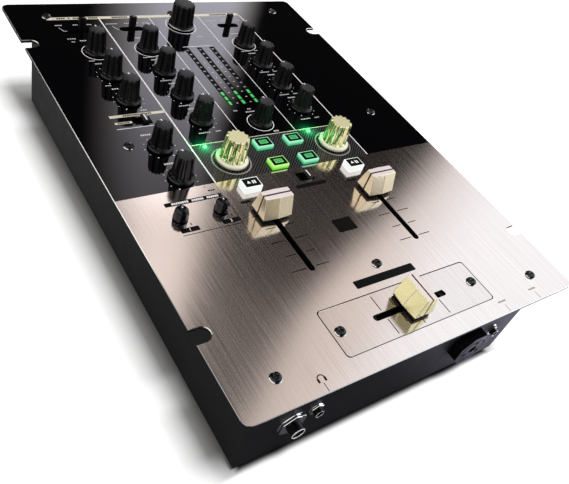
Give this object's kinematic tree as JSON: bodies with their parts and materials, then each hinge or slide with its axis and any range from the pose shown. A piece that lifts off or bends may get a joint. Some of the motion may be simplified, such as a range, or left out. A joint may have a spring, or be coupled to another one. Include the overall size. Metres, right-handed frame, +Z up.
{
  "type": "dj mixer",
  "caption": "DJ mixer for tabletop use: a faceplate with turning knobs, sliding faders, push buttons and level meters over a shallow metal case with sockets front and rear.",
  "frame": {"origin": "on the floor under the centre of the faceplate", "axes": "+X to the right as the user faces it, +Y to the back, +Z up"},
  "size_m": [0.254, 0.3636, 0.098],
  "materials": {
    "faceplate": "brushed in front, gloss black behind",
    "case": "satin",
    "rubber": "matte",
    "screws": "black oxide",
    "board": "satin",
    "standoffs": "nickel plated",
    "pot_bodies": "satin",
    "nuts": "polished",
    "fader_metal": "plain",
    "switch_plastic": "satin",
    "meter_lens": "smoked",
    "led_lens": "clear",
    "socket_plastic": "satin",
    "rca_metal": "gold plated",
    "usb_metal": "plain",
    "knobs": "satin",
    "effect_knobs": "champagne, polished",
    "fader_caps": "champagne metal paint",
    "effect_buttons": "lit from inside",
    "cue_buttons": "lit from inside",
    "levers": "satin"
  },
  "bodies": {
    "case": {"faceplate": "faceplate", "crossfader_plate": "faceplate", "case_body": "case", "bottom_cover": "case", "rear_panel": "case", "rubber_feet": "rubber", "faceplate_screws": "screws", "case_screws": "screws", "front_panel": "case", "circuit_boards": "board", "board_standoffs": "standoffs", "potentiometers": "pot_bodies", "potentiometer_nuts": "nuts", "fader_frames": "fader_metal", "switch_bodies": "switch_plastic", "level_meter_bars": "meter_lens", "status_leds": "led_lens", "phone_jacks": "socket_plastic", "mic_socket": "socket_plastic", "rca_sockets": "rca_metal", "usb_socket": "usb_metal", "ground_terminal": "nuts", "power_inlet": "socket_plastic"},
    "mic_level_knob": {"mic_level_knob": "knobs"},
    "mic_high_knob": {"mic_high_knob": "knobs"},
    "mic_low_knob": {"mic_low_knob": "knobs"},
    "cue_mix_knob": {"cue_mix_knob": "knobs"},
    "cue_level_knob": {"cue_level_knob": "knobs"},
    "master_level_knob": {"master_level_knob": "knobs"},
    "booth_level_knob": {"booth_level_knob": "knobs"},
    "left_curve_knob": {"left_curve_knob": "knobs"},
    "right_curve_knob": {"right_curve_knob": "knobs"},
    "channel_1_gain_knob": {"channel_1_gain_knob": "knobs"},
    "channel_1_high_knob": {"channel_1_high_knob": "knobs"},
    "channel_1_mid_knob": {"channel_1_mid_knob": "knobs"},
    "channel_1_low_knob": {"channel_1_low_knob": "knobs"},
    "channel_1_effect_knob": {"channel_1_effect_knob": "effect_knobs"},
    "channel_2_gain_knob": {"channel_2_gain_knob": "knobs"},
    "channel_2_high_knob": {"channel_2_high_knob": "knobs"},
    "channel_2_mid_knob": {"channel_2_mid_knob": "knobs"},
    "channel_2_low_knob": {"channel_2_low_knob": "knobs"},
    "channel_2_effect_knob": {"channel_2_effect_knob": "effect_knobs"},
    "channel_1_fader": {"channel_1_fader_cap": "fader_caps", "channel_1_fader_carriage": "fader_metal"},
    "channel_2_fader": {"channel_2_fader_cap": "fader_caps", "channel_2_fader_carriage": "fader_metal"},
    "crossfader": {"crossfader_cap": "fader_caps", "crossfader_carriage": "fader_metal"},
    "effect_button_1": {"effect_button_1": "effect_buttons"},
    "effect_button_2": {"effect_button_2": "effect_buttons"},
    "effect_button_3": {"effect_button_3": "effect_buttons"},
    "effect_button_4": {"effect_button_4": "effect_buttons"},
    "cue_button_1": {"cue_button_1": "cue_buttons"},
    "cue_button_2": {"cue_button_2": "cue_buttons"},
    "channel_1_input_lever": {"channel_1_input_lever": "levers"},
    "channel_2_input_lever": {"channel_2_input_lever": "levers"},
    "mic_input_lever": {"mic_input_lever": "levers"},
    "left_slide_switch_knob": {"left_slide_switch_knob": "levers"},
    "centre_slide_switch_knob": {"centre_slide_switch_knob": "levers"},
    "power_rocker": {"power_rocker": "levers"}
  },
  "joints": [
    {"name": "mic_level_turn", "type": "hinge", "parent": "case", "child": "mic_level_knob", "pos_m": [-0.0815, 0.1147, 0.0786], "axis": [0, 0, 1], "range_deg": [-150, 150]},
    {"name": "mic_high_turn", "type": "hinge", "parent": "case", "child": "mic_high_knob", "pos_m": [-0.0815, 0.0856, 0.0786], "axis": [0, 0, 1], "range_deg": [-150, 150]},
    {"name": "mic_low_turn", "type": "hinge", "parent": "case", "child": "mic_low_knob", "pos_m": [-0.0815, 0.0565, 0.0786], "axis": [0, 0, 1], "range_deg": [-150, 150]},
    {"name": "cue_mix_turn", "type": "hinge", "parent": "case", "child": "cue_mix_knob", "pos_m": [-0.0815, 0.0066, 0.0786], "axis": [0, 0, 1], "range_deg": [-150, 150]},
    {"name": "cue_level_turn", "type": "hinge", "parent": "case", "child": "cue_level_knob", "pos_m": [-0.0815, -0.0228, 0.0786], "axis": [0, 0, 1], "range_deg": [-150, 150]},
    {"name": "master_level_turn", "type": "hinge", "parent": "case", "child": "master_level_knob", "pos_m": [0, 0.1453, 0.0786], "axis": [0, 0, 1], "range_deg": [-150, 150]},
    {"name": "booth_level_turn", "type": "hinge", "parent": "case", "child": "booth_level_knob", "pos_m": [0, 0.0174, 0.0786], "axis": [0, 0, 1], "range_deg": [-150, 150]},
    {"name": "left_curve_turn", "type": "hinge", "parent": "case", "child": "left_curve_knob", "pos_m": [-0.097, -0.054, 0.0786], "axis": [0, 0, 1], "range_deg": [-150, 150]},
    {"name": "right_curve_turn", "type": "hinge", "parent": "case", "child": "right_curve_knob", "pos_m": [-0.0705, -0.054, 0.0786], "axis": [0, 0, 1], "range_deg": [-150, 150]},
    {"name": "channel_1_gain_turn", "type": "hinge", "parent": "case", "child": "channel_1_gain_knob", "pos_m": [-0.042, 0.1147, 0.0786], "axis": [0, 0, 1], "range_deg": [-150, 150]},
    {"name": "channel_1_high_turn", "type": "hinge", "parent": "case", "child": "channel_1_high_knob", "pos_m": [-0.042, 0.0856, 0.0786], "axis": [0, 0, 1], "range_deg": [-150, 150]},
    {"name": "channel_1_mid_turn", "type": "hinge", "parent": "case", "child": "channel_1_mid_knob", "pos_m": [-0.042, 0.0565, 0.0786], "axis": [0, 0, 1], "range_deg": [-150, 150]},
    {"name": "channel_1_low_turn", "type": "hinge", "parent": "case", "child": "channel_1_low_knob", "pos_m": [-0.042, 0.0274, 0.0786], "axis": [0, 0, 1], "range_deg": [-150, 150]},
    {"name": "channel_1_effect_turn", "type": "hinge", "parent": "case", "child": "channel_1_effect_knob", "pos_m": [-0.042, -0.0155, 0.0786], "axis": [0, 0, 1], "range_deg": [-150, 150]},
    {"name": "channel_2_gain_turn", "type": "hinge", "parent": "case", "child": "channel_2_gain_knob", "pos_m": [0.042, 0.1147, 0.0786], "axis": [0, 0, 1], "range_deg": [-150, 150]},
    {"name": "channel_2_high_turn", "type": "hinge", "parent": "case", "child": "channel_2_high_knob", "pos_m": [0.042, 0.0856, 0.0786], "axis": [0, 0, 1], "range_deg": [-150, 150]},
    {"name": "channel_2_mid_turn", "type": "hinge", "parent": "case", "child": "channel_2_mid_knob", "pos_m": [0.042, 0.0565, 0.0786], "axis": [0, 0, 1], "range_deg": [-150, 150]},
    {"name": "channel_2_low_turn", "type": "hinge", "parent": "case", "child": "channel_2_low_knob", "pos_m": [0.042, 0.0274, 0.0786], "axis": [0, 0, 1], "range_deg": [-150, 150]},
    {"name": "channel_2_effect_turn", "type": "hinge", "parent": "case", "child": "channel_2_effect_knob", "pos_m": [0.042, -0.0155, 0.0786], "axis": [0, 0, 1], "range_deg": [-150, 150]},
    {"name": "channel_1_fader_slide", "type": "slide", "parent": "case", "child": "channel_1_fader", "axis": [0, 1, 0], "range_m": [-0.0452, 0]},
    {"name": "channel_2_fader_slide", "type": "slide", "parent": "case", "child": "channel_2_fader", "axis": [0, 1, 0], "range_m": [-0.0452, 0]},
    {"name": "crossfader_slide", "type": "slide", "parent": "case", "child": "crossfader", "axis": [1, 0, 0], "range_m": [-0.0226, 0.0226]},
    {"name": "effect_button_1_press", "type": "slide", "parent": "case", "child": "effect_button_1", "axis": [0, 0, -1], "range_m": [0, 0.001], "stiffness_N_per_m": 800, "springref_m": -0.001},
    {"name": "effect_button_2_press", "type": "slide", "parent": "case", "child": "effect_button_2", "axis": [0, 0, -1], "range_m": [0, 0.001], "stiffness_N_per_m": 800, "springref_m": -0.001},
    {"name": "effect_button_3_press", "type": "slide", "parent": "case", "child": "effect_button_3", "axis": [0, 0, -1], "range_m": [0, 0.001], "stiffness_N_per_m": 800, "springref_m": -0.001},
    {"name": "effect_button_4_press", "type": "slide", "parent": "case", "child": "effect_button_4", "axis": [0, 0, -1], "range_m": [0, 0.001], "stiffness_N_per_m": 800, "springref_m": -0.001},
    {"name": "cue_button_1_press", "type": "slide", "parent": "case", "child": "cue_button_1", "axis": [0, 0, -1], "range_m": [0, 0.001], "stiffness_N_per_m": 800, "springref_m": -0.001},
    {"name": "cue_button_2_press", "type": "slide", "parent": "case", "child": "cue_button_2", "axis": [0, 0, -1], "range_m": [0, 0.001], "stiffness_N_per_m": 800, "springref_m": -0.001},
    {"name": "channel_1_input_flip", "type": "hinge", "parent": "case", "child": "channel_1_input_lever", "pos_m": [-0.0425, 0.1433, 0.0586], "axis": [0, 1, 0], "range_deg": [-18, 18]},
    {"name": "channel_2_input_flip", "type": "hinge", "parent": "case", "child": "channel_2_input_lever", "pos_m": [0.0425, 0.1433, 0.0586], "axis": [0, 1, 0], "range_deg": [-18, 18]},
    {"name": "mic_input_flip", "type": "hinge", "parent": "case", "child": "mic_input_lever", "pos_m": [-0.0815, 0.1433, 0.0586], "axis": [0, 1, 0], "range_deg": [-18, 18]},
    {"name": "left_slide_switch_shift", "type": "slide", "parent": "case", "child": "left_slide_switch_knob", "axis": [1, 0, 0], "range_m": [-0.0036, 0]},
    {"name": "centre_slide_switch_shift", "type": "slide", "parent": "case", "child": "centre_slide_switch_knob", "axis": [1, 0, 0], "range_m": [-0.0036, 0]},
    {"name": "power_rocker_tip", "type": "hinge", "parent": "case", "child": "power_rocker", "pos_m": [0.0855, 0.1665, 0.046], "axis": [1, 0, 0], "range_deg": [-16, 0]}
  ]
}
